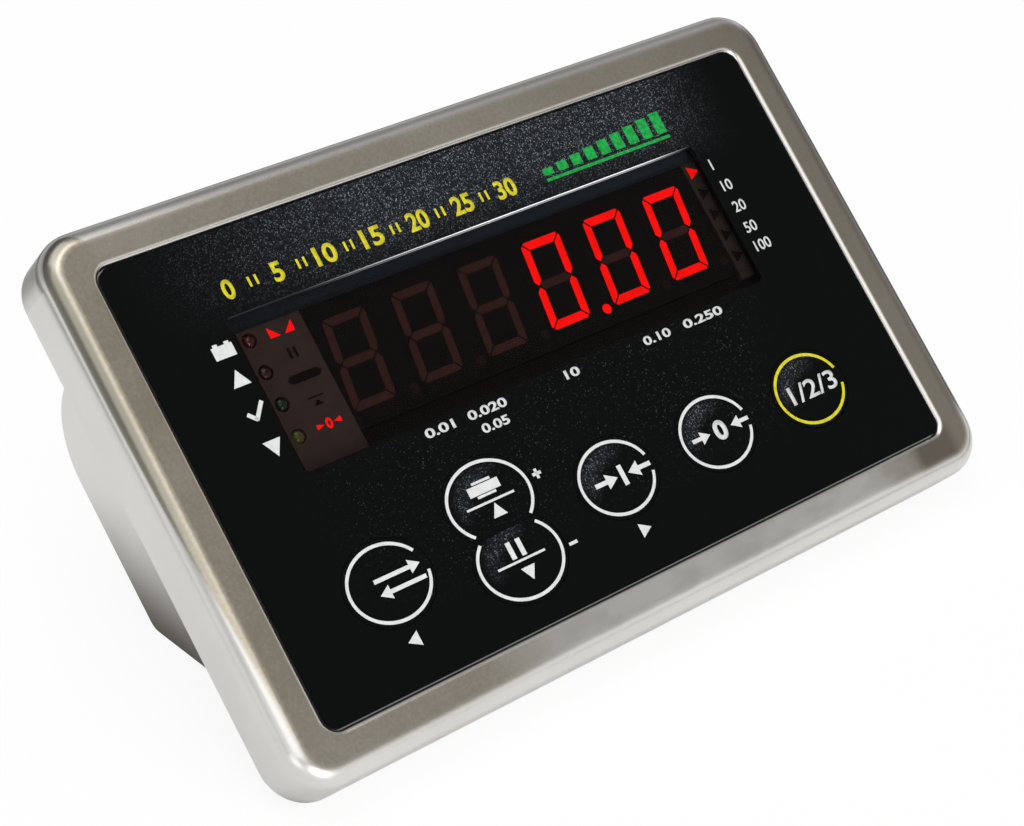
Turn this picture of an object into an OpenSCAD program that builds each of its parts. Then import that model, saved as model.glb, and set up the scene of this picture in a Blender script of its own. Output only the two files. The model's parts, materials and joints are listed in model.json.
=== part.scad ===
// Bench weighing indicator in a stainless steel console: a drawn front shell with a membrane keypad
// and a six digit display, and a folded rear shell that carries the cable glands and the power switch.
// Panel axes: x to the right, y up the sloping panel, z out of it, zero at the keypad's surface.
// In use the console rests on the front shell's lower back edge and on the rear shell's lower bend.

/* [Front shell] */
// Height of the front shell, measured up the panel
front_h = 121; // [112:1:132]
// Width of the front shell outside the rear shell, at either side
side_inset = 14.6; // [13.5:0.1:18]
// Width of the rim beside the keypad
rim_side = 10.7; // [10.2:0.1:13]
// Width of the rim above and below the keypad
rim_top = 10.15; // [10:0.05:12]
// Depth of its side walls behind the keypad's surface
front_depth = 13.4; // [13.2:0.1:16]
// Corner radius seen from the front
front_r = 10; // [8:0.5:12]
// Radius of the rolled front edge
edge_r = 4.5; // [3.5:0.25:5]
// Thickness of the sheet of both shells
sheet_t = 1.2; // [0.8:0.1:1.4]
// Height of the rim above the keypad's surface
rim_rise = 0.5; // [0.2:0.1:0.9]
// Radius of the bend that dips from the rim to the keypad
lip_r = 1.6; // [1.5:0.1:2.2]

/* [Rear shell] */
// Depth of its back face behind the keypad's surface
rear_depth = 58.7; // [56:0.5:66]
// Distance from the front shell's lower edge to the foot of the lower wall
lower_inset = 5; // [4:0.5:7]
// Distance from the front shell's upper edge to the top of the back wall
upper_inset = 7.5; // [6.5:0.5:9]
// Lower corner of the back face, below the panel's centre
rear_low = 11.1; // [9:0.5:14]
// Upper corner of the back face, above the panel's centre
rear_high = 36.3; // [35:0.5:38]
// Radius of the lower bend
lower_bend_r = 4; // [3:0.5:6]
// Radius of the upper bend
upper_bend_r = 17.3; // [14:0.5:20]

/* [Closing the shells] */
// Width of the foam gasket
gasket_w = 2.4; // [1.5:0.1:2.6]
// Thickness of the foam gasket
gasket_t = 2; // [1:0.25:3]
// Diameter of the threaded posts in the front shell
post_d = 4.4; // [4:0.1:4.4]
// Diameter of the closing screws
shell_screw_d = 3; // [2.5:0.5:3]
// Length of the closing screws under the head
shell_screw_l = 8; // [6:1:9]

/* [Keypad] */
// Corner radius of the keypad
pad_r = 3; // [2:0.25:4]
// Gap between the keypad and the rim
pad_gap = 0.25; // [0.1:0.05:0.5]
// Thickness of the printed overlay
overlay_t = 0.4; // [0.25:0.05:0.6]
// Thickness of the printed circuit film
circuit_t = 0.2; // [0.1:0.05:0.4]
// Width of the keypad's flat tail
tail_w = 14; // [10:1:20]

/* [Keys] */
// Width of a single key's printed oval
key_w = 19.6; // [17:0.2:21]
// Height of a single key's printed oval
key_h = 16.6; // [14:0.2:18]
// Width of the ovals of the paired keys
pair_w = 21.2; // [18:0.2:22]
// Height of the ovals of the paired keys
pair_h = 17.4; // [15:0.2:18]
// Distance between the centres of the paired keys
pair_step = 13.6; // [12:0.2:15]
// Width of key outside the printed oval
key_margin = 0.8; // [0.5:0.1:1]
// Running gap round a key
key_gap = 0.15; // [0.1:0.05:0.2]
// Travel of a key
key_travel = 0.4; // [0.2:0.05:0.4]
// Diameter of a snap dome
dome_d = 10; // [8:0.5:11]
// Height of a snap dome
dome_h = 0.3; // [0.2:0.05:0.35]

/* [Display window] */
// Width of window outside the display, at either side
window_edge = 0.3; // [0.1:0.05:1]
// Height of the clear window
window_h = 35.3; // [34:0.1:37]
// Corner radius of the clear window
window_r = 1.5; // [0.5:0.25:2.5]
// Width of metal cut away round the window
cut_margin = 1.5; // [1:0.1:2]

/* [Display] */
// Depth of the display's face behind the keypad's surface
face_depth = 2.9; // [2.8:0.1:3.2]
// Height of a digit
digit_h = 20.3; // [18:0.1:21]
// Width of a digit
digit_w = 10.8; // [10:0.1:11.5]
// Slant of the digits
digit_slant = 8; // [0:1:10]
// Distance from digit to digit
digit_pitch = 17.7; // [17:0.1:18]
// Width of a digit's bars
bar_w = 1.9; // [1.4:0.1:2.2]
// Gap between the bars
bar_gap = 0.35; // [0.2:0.05:0.5]
// Diameter of a decimal point
point_d = 2.3; // [1.8:0.1:2.6]
// Height of a digit module
module_h = 27.8; // [26:0.2:29]
// Thickness of the digit modules and blocks
module_t = 8.1; // [7.9:0.1:8.4]
// Centre of the display, right of the window's centre
display_shift = 2; // [0:0.1:2.2]
// Centre of the digits, above the window's centre
digits_rise = 0.8; // [0.5:0.1:1.2]
// Width of the symbol block at the left
symbol_block_w = 15.5; // [14:0.5:16]
// Height of the symbol block
symbol_block_h = 32; // [31:0.5:33]
// Width of the pointer block at the right
pointer_block_w = 4.8; // [4.4:0.1:5.2]
// Height of the pointer block
pointer_block_h = 29.6; // [29:0.2:31]
// Distance from symbol to symbol
symbol_pitch = 5.4; // [5:0.1:5.6]
// Diameter of the four lamps
lamp_d = 3.2; // [2.6:0.1:3.4]
// Distance from lamp to lamp
lamp_pitch = 7.27; // [6.6:0.01:7.6]
// Depth of the coloured bars and symbols
inlay_t = 0.5; // [0.3:0.1:1]
// Width of the foam shield round the display
shield_w = 3.2; // [2:0.2:4]
// Drop of the foam shield below the display's face
shield_drop = 1.2; // [0.8:0.2:2]

/* [Boards] */
// Thickness of the boards
board_t = 1.6; // [1.2:0.2:1.6]
// Gap between the boards and the rear shell's sides
board_clear = 5; // [4:0.5:7]
// Height of the main board
main_board_h = 66; // [62:1:67]
// Distance between the two boards
board_gap = 11.4; // [10:0.2:12]
// Distance of the board fixings from the boards' edges
fixing_inset = 4; // [3.6:0.2:5]
// Gap between the board fixings and the foam shield
fixing_clear = 2.3; // [1:0.1:4]
// Diameter of the spacers between the shell and the display board
stud_d = 6; // [5:0.5:6.5]
// Diameter of the board screws
board_screw_d = 3; // [2.5:0.5:3]

/* [Battery] */
// Diameter of a cell
cell_d = 14.2; // [13:0.2:14.6]
// Length of a cell
cell_l = 50; // [44:0.5:52]
// Number of cells
cell_count = 5; // [3:1:5]
// Wall of the battery tray
tray_t = 1.5; // [1:0.25:2]

/* [Cable glands] */
// Diameter of the gland's thread
gland_thread_d = 12; // [10:0.5:13]
// Diameter of the cable that the seal takes
gland_cable_d = 6; // [4:0.5:6.5]
// Width of the gland's hexagon across its flats
gland_hex = 16; // [15.5:0.5:18]
// Length of the gland's cap
gland_cap_l = 8.5; // [7.5:0.5:10]
// Distance from gland to gland
gland_pitch = 22; // [21:0.5:24]
// Centre of the middle gland, left of the centre
gland_x = 40; // [36:1:44]
// Depth of the glands and the switch behind the keypad's surface
back_line = 35; // [34.5:0.5:36]

/* [Power switch] */
// Length of the switch's bezel
switch_l = 21; // [20:0.5:24]
// Width of the switch's bezel
switch_w = 15; // [14.5:0.5:16]
// Thickness of the switch's bezel
switch_rim = 2; // [1.5:0.25:2.25]
// Depth of the switch behind the wall
switch_depth = 10; // [9:0.5:10.5]
// Centre of the switch, right of the centre
switch_x = 48; // [44:1:56]
// Tilt of the rocker to either side
rocker_tilt = 12; // [8:1:12]

/* [Bracket nuts] */
// Distance between the nuts from side to side
nut_span_x = 80; // [60:1:120]
// Distance between the nuts up the back face
nut_span_y = 18; // [14:1:19]
// Core diameter of the nuts' M4 thread
nut_core_d = 3.3; // [2.5:0.1:3.3]

/* [Hidden] */

$fn = 64;
// How far a cut runs past the face that it opens
cut = 1;
// Clearance of a screw in its hole, and of a piece in its seat
slip = 0.05;
seat = 0.2;

// Levels below the keypad's surface, with room under each key for its dome and its travel
press_gap = 0.1;
spacer_t = dome_h + key_travel + press_gap;
overlay_z = -overlay_t;
circuit_z = overlay_z - spacer_t;
floor_z = circuit_z - circuit_t;
floor_back = floor_z - sheet_t;
face_z = -face_depth;
board_z = face_z - module_t;
board_back = board_z - board_t;
main_z = board_back - board_gap;
main_back = main_z - board_t;
flange_z = -front_depth;

// Display, from the symbols at the left to the pointers at the right
digit_count = 6;
block_gap = 0.05;
pointer_gap = 0.5;
display_w = symbol_block_w + block_gap + digit_count * digit_pitch + pointer_gap + pointer_block_w;
window_w = display_w + 2 * window_edge;

// Widths outwards from the display: the boards, the rear shell, the front shell and the keypad
fixing_x = display_w / 2 + seat + shield_w + fixing_clear + stud_d / 2;
board_w = 2 * (fixing_x + fixing_inset);
rear_w = board_w + 2 * (board_clear + sheet_t);
front_w = rear_w + 2 * side_inset;
pad_w = front_w - 2 * rim_side;
pad_h = front_h - 2 * rim_top;

// Recess that the keypad is bonded into
recess_w = pad_w + 2 * pad_gap;
recess_h = pad_h + 2 * pad_gap;
recess_r = pad_r + pad_gap;

// Side outline of the rear shell, as pairs of y and z, from the foot of the lower wall round to the back wall
shell_a = [lower_inset - front_h / 2, flange_z];
shell_b = [-rear_low, -rear_depth];
shell_c = [rear_high, -rear_depth];
shell_d = [front_h / 2 - upper_inset, flange_z];
back_lean = atan2(shell_d[0] - shell_c[0], shell_d[1] - shell_c[1]);
back_y = shell_d[0] - (back_line - front_depth) * tan(back_lean);

// Key places, as shares of the keypad's size from its centre
key_x_shares = [-0.347, -0.1744, 0.0023, 0.1698, 0.3372];
key_y_share = -0.289;
key_xs = [for (share = key_x_shares) share * pad_w];
key_y = key_y_share * pad_h;
pair_x = key_xs[1];
single_xs = [key_xs[0], key_xs[2], key_xs[3], key_xs[4]];

// Display places, with the window's centre as shares of the keypad's size
window_share = [-0.0104, 0.147];
window_x = window_share[0] * pad_w;
window_y = window_share[1] * pad_h;
lit_digits = [3, 4, 5];
point_digit = 3;
digits_x = window_x + display_shift - display_w / 2 + symbol_block_w + block_gap;
digits_y = window_y + digits_rise;
symbol_x = digits_x - block_gap - symbol_block_w / 2;
block_top = digits_y + module_h / 2;
symbol_block_y = block_top - symbol_block_h / 2;
pointer_x = digits_x + digit_count * digit_pitch + pointer_gap + pointer_block_w / 2;
pointer_block_y = block_top - pointer_block_h / 2;
lamp_inset = 2.2;
lamp_x = symbol_x - symbol_block_w / 2 + lamp_inset;
lamp_rise = 11.6;
mark_rise = 11.6;
mark_inset = 9.8;
mark_x = symbol_x - symbol_block_w / 2 + mark_inset;
mark_w = 6;
mark_h = 2.4;
mark_bar = 0.7;
pointer_w = 2.9;
pointer_h = 3.1;

// Boards and what they carry
tail_gap = 4.1;
tail_socket_t = 4;
tail_y = block_top - symbol_block_h - seat - shield_w - tail_gap - tail_socket_t / 2;
board_low = tail_y - fixing_inset;
board_over = 14.5;
board_high = block_top + board_over;
main_board_y = 0;
fixing_ys = [tail_y, main_board_y + main_board_h / 2 - fixing_inset];
pillar_hex = 5.5;
screw_head_d = 5.6;
screw_head_h = 2;
thread_l = 6;
tail_t = 0.3;
tail_socket_h = 2.8;
tail_wall = 2;
tail_entry = 2;
link_w = 26;
link_t = 5;
link_y = -8;

// Battery tray on the back of the main board
cell_slack = 0.3;
cell_step = cell_d + cell_slack;
tray_w = cell_count * cell_step + 2 * tray_t;
tray_h = cell_l + 2 * tray_t + cell_slack;
tray_floor = main_back - tray_t;
tray_wall_h = 9;
tray_y = 0;
cell_z = tray_floor - cell_d / 2;
cell_cap_d = 5.5;
cell_cap_h = 1;

// Gland pieces, measured out from the wall
washer_t = 1;
washer_d = 17;
gland_flange_t = 4.5;
gland_neck_d = 12.6;
gland_neck_l = 4.5;
gland_bore_d = 7.4;
seal_d = 9.4;
seal_l = 4.9;
cap_d = 16;
cap_gap = 0.1;
cap_edge = 1.5;
gland_nut_t = 4;
gland_tail_l = 8;
gland_xs = [for (i = [-1:1]) i * gland_pitch - gland_x];
gland_neck_z = washer_t + gland_flange_t;
gland_tip = gland_neck_z + cap_gap + gland_cap_l;

// Switch pieces, measured out from the wall
switch_wall = 1.2;
switch_lip = 1;
switch_body_l = switch_l - 2 * switch_lip;
switch_body_w = switch_w - 2 * switch_lip;
rocker_l = 14.2;
rocker_w = 9.2;
rocker_rise = 3.9;
rocker_dip = 2.6;
rocker_waist = 1.2;
rocker_base = 2.5;
rocker_foot = 6;
rocker_gap = 0.3;
rocker_side_gap = 0.3;
cavity_l = 2 * norm([rocker_l / 2, rocker_rise]) + 2 * rocker_gap;
cavity_depth = 4.6;
pin_d = 2;
pin_l = 0.8;
switch_tab_l = 5;
switch_tab_w = 4.8;
switch_tab_t = 0.8;
switch_tab_step = 6.4;

// Bracket nuts in the back face
nut_y_share = 0.382;
nut_y = nut_y_share * (rear_high + rear_low) - rear_low;
nut_flange_d = 8;
nut_flange_t = 0.8;
nut_body_d = 6;
nut_l = 9;
nut_thread_l = 8;

// Stance on the desk: the floor touches the front shell's lower back edge and the lower bend
function unit(v) = v / norm(v);
function cross2(a, b) = a[0] * b[1] - a[1] * b[0];
function inward(p, q) = let (d = unit(q - p)) [-d[1], d[0]];
function moved_in(line, d) = [for (p = line) p + d * inward(line[0], line[1])];
function meet(m, n) =
    let (u = m[1] - m[0], v = n[1] - n[0])
    m[0] + u * cross2(n[0] - m[0], v) / cross2(u, v);
function foot(p, line) = let (d = unit(line[1] - line[0])) line[0] + d * ((p - line[0]) * d);
function bend_centre(p, q, s, r) = meet(moved_in([p, q], r), moved_in([q, s], r));

lower_centre = bend_centre(shell_a, shell_b, shell_c, lower_bend_r);
upper_centre = bend_centre(shell_b, shell_c, shell_d, upper_bend_r);
rest_edge = [-front_h / 2, flange_z];
rest_arm = lower_centre - rest_edge;
panel_slope = atan2(-rest_arm[1], rest_arm[0]) + asin(lower_bend_r / norm(rest_arm));

// Heights and depths of a panel point once the console stands on the desk
function stood_y(p) = p[0] * cos(panel_slope) - p[1] * sin(panel_slope);
function stood_z(p) = p[0] * sin(panel_slope) + p[1] * cos(panel_slope);
front_edge = [edge_r - front_h / 2, rim_rise - edge_r];
cap_tip = [back_y + gland_tip * cos(back_lean), -back_line - gland_tip * sin(back_lean)];
stance_z = -stood_z(rest_edge);
front_reach = stood_y(front_edge) - edge_r;
bend_reach = stood_y(upper_centre) + upper_bend_r;
gland_rise = panel_slope - back_lean;
gland_reach = stood_y(cap_tip) + cap_edge * (1 - cos(gland_rise)) + (cap_d / 2 - cap_edge) * abs(sin(gland_rise));
stance_y = -(front_reach + max(bend_reach, gland_reach)) / 2;

module in_stance() {
    translate([0, stance_y, stance_z])
        rotate([panel_slope, 0, 0])
            children();
}

// Helpers
module rounded_rect(w, h, r) {
    square([w - 2 * r, h], center = true);
    square([w, h - 2 * r], center = true);
    for (x = [r - w / 2, w / 2 - r], y = [r - h / 2, h / 2 - r])
        translate([x, y])
            circle(r);
}

// Runs a section round a rounded rectangle, with the section's x measured from the corner's centre
module run_round(w, h, r) {
    for (corner = [[1, 1, 0], [-1, 1, 90], [-1, -1, 180], [1, -1, 270]])
        translate([corner[0] * (w / 2 - r), corner[1] * (h / 2 - r), 0])
            rotate([0, 0, corner[2]])
                rotate_extrude(angle = 90)
                    children();
    for (side = [[0, w, h], [90, h, w], [180, w, h], [270, h, w]])
        rotate([0, 0, side[0]])
            translate([side[1] / 2 - r, 0, 0])
                rotate([90, 0, 0])
                    linear_extrude(side[2] - 2 * r, center = true)
                        children();
}

// A quarter of a ring of sheet about a bend's centre, towards the side signs given
module bend(r, t, side) {
    difference() {
        intersection() {
            circle(r);
            translate([side[0] > 0 ? 0 : -r, side[1] > 0 ? 0 : -r])
                square(r);
        }
        circle(r - t);
    }
}

module layer(z_low, z_high) {
    translate([0, 0, z_low])
        linear_extrude(z_high - z_low)
            children();
}

module oval(w, h) {
    polygon([for (a = [0:4:356]) [w / 2 * cos(a), h / 2 * sin(a)]]);
}

module single_key(x, grow) {
    translate([x, key_y])
        oval(key_w + 2 * key_margin + 2 * grow, key_h + 2 * key_margin + 2 * grow);
}

module pair_oval(side, grow) {
    translate([pair_x, key_y + side * pair_step / 2])
        oval(pair_w + 2 * key_margin + 2 * grow, pair_h + 2 * key_margin + 2 * grow);
}

module pair_key(side) {
    difference() {
        pair_oval(side, 0);
        translate([pair_x, key_y - side * (pair_h - key_gap / 2)])
            square([2 * pair_w, 2 * pair_h], center = true);
    }
}

module all_keys(grow) {
    for (x = single_xs)
        single_key(x, grow);
    for (side = [-1, 1])
        pair_oval(side, grow);
}

module window_shape(grow) {
    translate([window_x, window_y])
        rounded_rect(window_w + 2 * grow, window_h + 2 * grow, window_r + grow);
}

module on_back_wall(x) {
    translate([x, back_y, -back_line])
        rotate([-90 - back_lean, 0, 0])
            children();
}

module at_fixings() {
    for (x = [-fixing_x, fixing_x], y = fixing_ys)
        translate([x, y, 0])
            children();
}

// A socket screw: its head lies under z = 0 and its shank rises above it
module screw(d, l, head_d, head_h) {
    translate([0, 0, -head_h])
        difference() {
            cylinder(head_h, d = head_d);
            translate([0, 0, -cut])
                cylinder(cut + head_h / 2, d = d, $fn = 6);
        }
    cylinder(l, d = d);
}

// Front shell
module front_shell() {
    flat_w = front_w - 2 * edge_r;
    flat_h = front_h - 2 * edge_r;
    lip_w = recess_w + 2 * lip_r;
    lip_h = recess_h + 2 * lip_r;
    color("silver") in_stance() {
        difference() {
            union() {
                run_round(front_w, front_h, front_r) {
                    translate([front_r - edge_r, rim_rise - edge_r])
                        bend(edge_r, sheet_t, [1, 1]);
                    translate([front_r - sheet_t, -front_depth])
                        square([sheet_t, front_depth + rim_rise - edge_r]);
                }
                layer(rim_rise - sheet_t, rim_rise)
                    difference() {
                        rounded_rect(flat_w, flat_h, front_r - edge_r);
                        rounded_rect(lip_w, lip_h, recess_r + lip_r);
                    }
                run_round(recess_w, recess_h, recess_r) {
                    translate([recess_r + lip_r, rim_rise - lip_r])
                        bend(lip_r, sheet_t, [-1, 1]);
                    translate([recess_r, floor_back])
                        square([sheet_t, rim_rise - lip_r - floor_back]);
                }
                layer(floor_back, floor_z)
                    rounded_rect(recess_w, recess_h, recess_r);
            }
            layer(floor_back - cut, floor_z + cut) {
                window_shape(cut_margin);
                translate([0, tail_y])
                    square([tail_w + 2 * seat, tail_t + 2 * seat], center = true);
            }
        }
    }
}

post_x = (recess_w / 2 + lip_r + front_w / 2 - edge_r) / 2;
post_y_share = 0.36;
post_ys = [for (i = [-1:1]) i * post_y_share * front_h];
screw_clear = 0.25;
weld_gap = 0.1;

module at_posts() {
    for (x = [-post_x, post_x], y = post_ys)
        translate([x, y, 0])
            children();
}

module shell_posts() {
    post_top = rim_rise - sheet_t - weld_gap;
    post_foot = flange_z + sheet_t;
    color("gainsboro") in_stance()
        at_posts()
            difference() {
                translate([0, 0, post_foot])
                    cylinder(post_top - post_foot, d = post_d);
                translate([0, 0, post_foot - cut])
                    cylinder(shell_screw_l + cut, d = shell_screw_d + 2 * slip);
            }
}

module shell_screws() {
    color("lightgray") in_stance()
        at_posts()
            translate([0, 0, flange_z])
                screw(shell_screw_d, shell_screw_l, screw_head_d, screw_head_h);
}

module shell_gasket() {
    inner_w = front_w - 2 * sheet_t;
    inner_h = front_h - 2 * sheet_t;
    inner_r = front_r - sheet_t;
    color("dimgray") in_stance()
        layer(flange_z + sheet_t, flange_z + sheet_t + gasket_t)
            difference() {
                rounded_rect(inner_w, inner_h, inner_r);
                rounded_rect(inner_w - 2 * gasket_w, inner_h - 2 * gasket_w, inner_r - gasket_w);
            }
}

// Rear shell
module side_profile(d, front) {
    lower = moved_in([shell_a, shell_b], d);
    back = moved_in([shell_b, shell_c], d);
    upper = moved_in([shell_c, shell_d], d);
    rim = [[0, front], [cut, front]];
    polygon([meet(lower, rim), foot(lower_centre, lower), foot(lower_centre, back),
             foot(upper_centre, back), foot(upper_centre, upper), meet(upper, rim)]);
    translate(lower_centre)
        circle(lower_bend_r - d);
    translate(upper_centre)
        circle(upper_bend_r - d);
}

module side_prism(w) {
    rotate([90, 0, 90])
        linear_extrude(w, center = true)
            children();
}

module at_nuts() {
    for (x = [-nut_span_x / 2, nut_span_x / 2], y = [-nut_span_y / 2, nut_span_y / 2])
        translate([x, nut_y + y, -rear_depth])
            rotate([180, 0, 0])
                children();
}

module rear_shell() {
    color("silver") in_stance()
        difference() {
            union() {
                side_prism(rear_w)
                    side_profile(0, flange_z);
                layer(flange_z, flange_z + sheet_t)
                    rounded_rect(front_w - 2 * sheet_t - 2 * slip, front_h - 2 * sheet_t - 2 * slip,
                                 front_r - sheet_t - slip);
            }
            side_prism(rear_w - 2 * sheet_t)
                side_profile(sheet_t, flange_z + sheet_t + cut);
            at_posts()
                translate([0, 0, flange_z - cut])
                    cylinder(sheet_t + 2 * cut, d = shell_screw_d + 2 * screw_clear);
            for (x = gland_xs)
                on_back_wall(x)
                    translate([0, 0, -sheet_t - cut])
                        cylinder(sheet_t + 2 * cut, d = gland_thread_d + 2 * slip);
            on_back_wall(switch_x)
                translate([0, 0, -sheet_t / 2])
                    cube([switch_body_l + 2 * slip, switch_body_w + 2 * slip, sheet_t + 2 * cut], center = true);
            at_nuts()
                translate([0, 0, -sheet_t - cut])
                    cylinder(sheet_t + 2 * cut, d = nut_body_d + 2 * slip);
        }
}

module bracket_nuts() {
    color("lightgray") in_stance()
        at_nuts()
            difference() {
                union() {
                    cylinder(nut_flange_t, d = nut_flange_d);
                    translate([0, 0, nut_flange_t - nut_l])
                        cylinder(nut_l - nut_flange_t, d = nut_body_d);
                }
                translate([0, 0, nut_flange_t - nut_thread_l])
                    cylinder(nut_thread_l + cut, d = nut_core_d);
            }
}

// Keypad
module keypad_overlay() {
    color([0.06, 0.065, 0.07]) in_stance()
        layer(overlay_z, 0)
            difference() {
                rounded_rect(pad_w, pad_h, pad_r);
                window_shape(0);
                all_keys(key_gap);
            }
}

module keypad_spacer() {
    color("whitesmoke") in_stance()
        layer(circuit_z, overlay_z)
            difference() {
                rounded_rect(pad_w, pad_h, pad_r);
                window_shape(0);
                all_keys(2 * key_gap);
            }
}

module keypad_circuit() {
    color("palegoldenrod") in_stance()
        layer(floor_z, circuit_z)
            difference() {
                rounded_rect(pad_w, pad_h, pad_r);
                window_shape(0);
            }
}

module keypad_tail() {
    color("goldenrod") in_stance()
        translate([-tail_w / 2, tail_y - tail_t / 2, board_z + tail_socket_h - tail_entry])
            cube([tail_w, tail_t, floor_z - board_z - tail_socket_h + tail_entry]);
}

module snap_domes() {
    dome_top_share = 0.6;
    places = concat([for (x = single_xs) [x, key_y]],
                    [for (side = [-1, 1]) [pair_x, key_y + side * pair_step / 2]]);
    color("silver") in_stance()
        for (place = places)
            translate([place[0], place[1], circuit_z])
                cylinder(dome_h, d1 = dome_d, d2 = dome_top_share * dome_d);
}

module display_window() {
    color([0.25, 0.05, 0.05, 0.5]) in_stance()
        layer(floor_z, 0)
            window_shape(0);
}

module key_film() {
    color([0.09, 0.095, 0.1]) in_stance()
        layer(overlay_z, 0)
            children();
}

module key_net() {
    key_film()
        single_key(single_xs[0], 0);
}

module key_tare() {
    key_film()
        single_key(single_xs[1], 0);
}

module key_zero() {
    key_film()
        single_key(single_xs[2], 0);
}

module key_unit() {
    key_film()
        single_key(single_xs[3], 0);
}

module key_print() {
    key_film()
        pair_key(1);
}

module key_hold() {
    key_film()
        pair_key(-1);
}

// Display: bars are named a to g clockwise from the top, with g across the middle
bar_names = "abcdefg";
zero_bars = "abcdef";
digit_centre_share = 0.42;
point_shares = [0.795, -0.495];
corner_cut_share = 0.47;

function slanted(p) = [p[0] + p[1] * tan(digit_slant), p[1]];
function mirrored(points, sides) = [for (p = points) [sides[0] * p[0], sides[1] * p[1]]];

// Upper, upper right and middle bars, mitred where they meet, with the digit's outer corners cut off
mitre = bar_gap / sqrt(2);
corner_cut = corner_cut_share * bar_w;
digit_corner = [digit_w, digit_h] / 2;
corner_far = digit_corner - [corner_cut + mitre, corner_cut - mitre] / 2;
corner_near = digit_corner - [corner_cut - mitre, corner_cut + mitre] / 2;
upper_bar = [[digit_corner[0] - corner_cut, digit_corner[1]], corner_far, digit_corner - [bar_w + mitre, bar_w]];
upper_outline = concat(upper_bar, [for (i = [2:-1:0]) [-upper_bar[i][0], upper_bar[i][1]]]);
right_outline = [corner_near, [digit_corner[0], digit_corner[1] - corner_cut],
                 [digit_corner[0], bar_w / 2 + mitre], [digit_corner[0] - bar_w / 2, mitre],
                 [digit_corner[0] - bar_w, bar_w / 2 + mitre], digit_corner - [bar_w, bar_w + mitre]];
middle_tip = digit_corner[0] - bar_w / 2 - mitre;
middle_outline = [[-middle_tip, 0], [bar_w / 2 - middle_tip, bar_w / 2], [middle_tip - bar_w / 2, bar_w / 2],
                  [middle_tip, 0], [middle_tip - bar_w / 2, -bar_w / 2], [bar_w / 2 - middle_tip, -bar_w / 2]];

module bar_shape(letter) {
    outline = letter == "a" ? upper_outline
            : letter == "b" ? right_outline
            : letter == "c" ? mirrored(right_outline, [1, -1])
            : letter == "d" ? mirrored(upper_outline, [1, -1])
            : letter == "e" ? mirrored(right_outline, [-1, -1])
            : letter == "f" ? mirrored(right_outline, [-1, 1])
            : middle_outline;
    polygon([for (p = outline) slanted(p)]);
}

module at_digit(i) {
    translate([digits_x + (i + digit_centre_share) * digit_pitch, digits_y])
        children();
}

module point_shape() {
    translate([point_shares[0] * digit_w, point_shares[1] * digit_h])
        circle(d = point_d);
}

module bars_of(i, letters) {
    for (letter = letters)
        at_digit(i)
            bar_shape(letter);
}

module digit(i) {
    color([0.06, 0.04, 0.035]) in_stance()
        difference() {
            layer(board_z, face_z)
                translate([digits_x + (i + 0.5) * digit_pitch, digits_y])
                    square([digit_pitch - block_gap, module_h], center = true);
            layer(face_z - inlay_t, face_z + cut) {
                bars_of(i, bar_names);
                at_digit(i)
                    point_shape();
            }
        }
}

module digit_1() {
    digit(0);
}

module digit_2() {
    digit(1);
}

module digit_3() {
    digit(2);
}

module digit_4() {
    digit(3);
}

module digit_5() {
    digit(4);
}

module digit_6() {
    digit(5);
}

module bars_lit() {
    color("red") in_stance()
        layer(face_z - inlay_t, face_z) {
            for (i = lit_digits)
                bars_of(i, zero_bars);
            at_digit(point_digit)
                point_shape();
        }
}

module bars_dark() {
    color([0.18, 0.1, 0.09]) in_stance()
        layer(face_z - inlay_t, face_z) {
            for (i = [0:digit_count - 1]) {
                if (len(search(i, lit_digits)) == 0)
                    bars_of(i, bar_names);
                else
                    bars_of(i, "g");
                if (i != point_digit)
                    at_digit(i)
                        point_shape();
            }
        }
}

// Symbol block: two wedges, a pause sign, a bar, a balance and a zero between arrows
function mark_y(i) = digits_y + mark_rise - i * symbol_pitch;

module wedge_mark(side) {
    translate([side * mark_w / 4, 0])
        polygon([[-side * mark_w / 6, -mark_h / 2], [side * mark_w / 4, -mark_h / 2], [side * mark_w / 4, mark_h / 2]]);
}

module pause_mark() {
    for (side = [-1, 1])
        translate([side * mark_bar, 0])
            square([mark_bar, mark_h], center = true);
}

module balance_mark() {
    polygon([[-mark_h / 2, -mark_h / 2], [mark_h / 2, -mark_h / 2], [0, 0]]);
    translate([0, mark_bar])
        square([mark_w * 2 / 3, mark_bar / 2], center = true);
}

module zero_mark() {
    difference() {
        oval(mark_h * 2 / 3, mark_h);
        oval(mark_h / 4, mark_h / 2);
    }
    for (side = [-1, 1])
        polygon([[side * mark_w / 2, -mark_h / 4], [side * mark_w / 2, mark_h / 4], [side * mark_h / 2, 0]]);
}

module lit_marks() {
    translate([mark_x, mark_y(0)])
        for (side = [-1, 1])
            wedge_mark(side);
    translate([mark_x, mark_y(4)])
        zero_mark();
}

module dark_marks() {
    translate([mark_x, mark_y(1)])
        pause_mark();
    translate([mark_x, mark_y(2)])
        polygon(middle_outline);
    translate([mark_x, mark_y(3)])
        balance_mark();
}

module at_lamp(i) {
    translate([lamp_x, digits_y + lamp_rise - i * lamp_pitch])
        children();
}

module symbol_block() {
    color([0.16, 0.125, 0.12]) in_stance()
        difference() {
            layer(board_z, face_z)
                translate([symbol_x, symbol_block_y])
                    square([symbol_block_w, symbol_block_h], center = true);
            layer(board_z - cut, face_z + cut)
                for (i = [0:3])
                    at_lamp(i)
                        circle(d = lamp_d + 2 * slip);
            layer(face_z - inlay_t, face_z + cut) {
                lit_marks();
                dark_marks();
            }
        }
}

module symbols_lit() {
    color("red") in_stance()
        layer(face_z - inlay_t, face_z)
            lit_marks();
}

module symbols_dark() {
    color([0.1, 0.06, 0.055]) in_stance()
        layer(face_z - inlay_t, face_z)
            dark_marks();
}

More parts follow.
